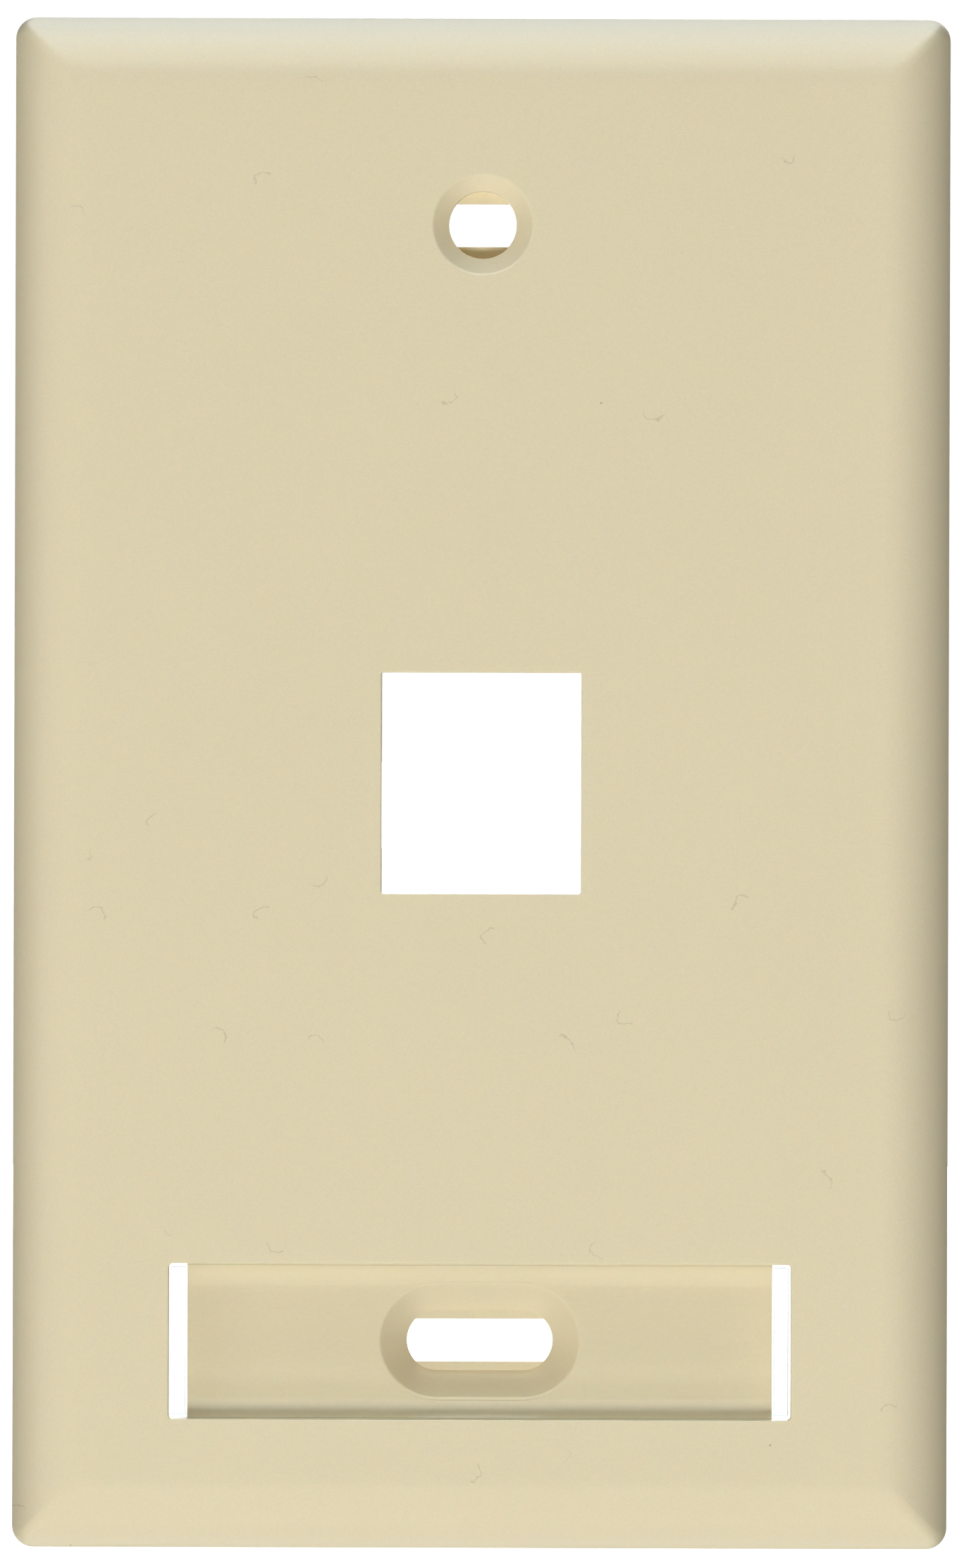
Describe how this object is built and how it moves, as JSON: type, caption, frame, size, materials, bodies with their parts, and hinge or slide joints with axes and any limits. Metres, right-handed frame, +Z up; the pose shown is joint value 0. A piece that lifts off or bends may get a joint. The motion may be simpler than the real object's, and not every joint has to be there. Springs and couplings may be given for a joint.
{
  "type": "wall plate cover",
  "caption": "Single-gang ivory wall plate with captive-screw holes, a snap-in jack opening and a sunken label recess under a clear removable window.",
  "frame": {"origin": "centre of the rim plane that lies on the wall", "axes": "+Z up as mounted, the face looks along -Y, +X to the right of someone facing the plate"},
  "size_m": [0.0698, 0.0087, 0.1142],
  "materials": {
    "ivory_plastic": "fine satin moulded ivory",
    "clear_plastic": "polished clear"
  },
  "bodies": {
    "plate": {"wall_plate": "ivory_plastic"},
    "window": {"id_window": "clear_plastic"}
  },
  "joints": [
    {"name": "window_release", "type": "slide", "parent": "plate", "child": "window", "axis": [0, -1, 0], "range_m": [0, 0.0045]}
  ]
}
